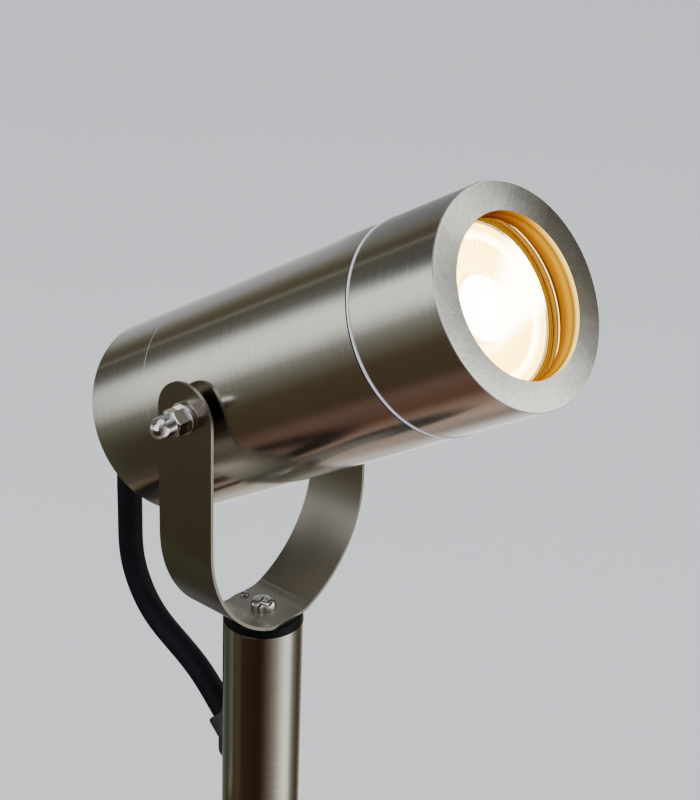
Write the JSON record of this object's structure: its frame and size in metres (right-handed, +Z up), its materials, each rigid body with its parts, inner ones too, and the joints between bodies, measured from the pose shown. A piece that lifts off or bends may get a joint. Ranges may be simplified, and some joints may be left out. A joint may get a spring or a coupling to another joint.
{
  "type": "garden spike light",
  "caption": "Tubular stainless spotlight head tilting in a bent strip yoke on a slim pole with a ground spike and a rubber supply lead.",
  "frame": {"origin": "on the pole axis at the soil line, where the underside of the spike flange rests", "axes": "+Z up the pole, X along the head pivot axis, beam towards -Y and tilted up"},
  "size_m": [0.1557, 0.2513, 0.4913],
  "materials": {
    "brushed_steel": "stainless tube, brushed round its axis",
    "brushed_strip": "stainless strip, satin",
    "chrome": "bright plated",
    "screw_steel": "plated steel",
    "zinc_plate": "zinc plated sheet",
    "turned_aluminium": "turned",
    "black_plastic": "moulded, satin black",
    "white_plastic": "moulded white",
    "cable_rubber": "matt black rubber sheath",
    "rubber": "matt black",
    "pale_seal": "pale silicone",
    "core_brown": "insulated core",
    "core_blue": "insulated core",
    "core_green_yellow": "insulated core, two colours",
    "tinned_copper": "tinned",
    "brass": "plain brass",
    "ceramic": "glazed ceramic",
    "clear_glass": "clear toughened",
    "lamp_lens": "lit warm white lens",
    "led_board": "phosphor on a white board"
  },
  "bodies": {
    "root": {"spike": "black_plastic", "socket_screw": "screw_steel", "pole": "brushed_steel", "pole_cap": "black_plastic", "yoke": "brushed_strip", "yoke_screw": "chrome", "yoke_pin": "chrome", "pole_grommet": "rubber", "foot_grommet": "rubber", "pole_lead": "cable_rubber", "head_lead": "cable_rubber", "supply_run": "cable_rubber", "supply_coil": "cable_rubber", "end_core_live": "core_brown", "end_core_neutral": "core_blue", "end_core_earth": "core_green_yellow", "ferrules": "tinned_copper"},
    "head": {"head_tube": "brushed_steel", "rear_cap": "brushed_steel", "cap_seal": "rubber", "thread_collar": "turned_aluminium", "seam_seal": "pale_seal", "pivot_bolts": "screw_steel", "pivot_spacers": "black_plastic", "pivot_washers": "chrome", "pivot_nuts": "chrome", "holder_bracket": "zinc_plate", "lamp_holder": "ceramic", "holder_screws": "screw_steel", "terminal_block": "white_plastic", "terminal_screws": "brass", "earth_screw": "brass", "lead_end": "cable_rubber", "core_live": "core_brown", "core_neutral": "core_blue", "core_earth": "core_green_yellow", "holder_leads": "white_plastic", "gland_body": "black_plastic", "gland_locknut": "black_plastic", "gland_seal": "rubber", "gland_nut": "black_plastic"},
    "glass_unit": {"front_glass": "clear_glass", "glass_gasket": "pale_seal"},
    "sleeve": {"front_sleeve": "brushed_steel"},
    "lamp": {"lamp_housing": "white_plastic", "lamp_board": "led_board", "lamp_lens": "lamp_lens", "lamp_pins": "tinned_copper"}
  },
  "joints": [
    {"name": "head_tilt", "type": "hinge", "parent": "root", "child": "head", "pos_m": [0, 0, 0.2635], "axis": [-1, 0, 0], "range_deg": [-46.4, 33.6], "deforming": ["head_lead"]},
    {"name": "sleeve_travel", "type": "slide", "parent": "head", "child": "glass_unit", "axis": [0, -0.8536, 0.521], "range_m": [0, 0.006]},
    {"name": "sleeve_turn", "type": "hinge", "parent": "glass_unit", "child": "sleeve", "pos_m": [0, 0, 0.2635], "axis": [0, -0.8536, 0.521], "range_deg": [0, 1440]},
    {"name": "lamp_twist", "type": "hinge", "parent": "head", "child": "lamp", "pos_m": [0, 0, 0.2635], "axis": [0, -0.8536, 0.521], "range_deg": [0, 25]}
  ],
  "couplings": [
    {"joint": "sleeve_travel", "follows": "sleeve_turn", "m_per_rad": 0.00023873}
  ]
}
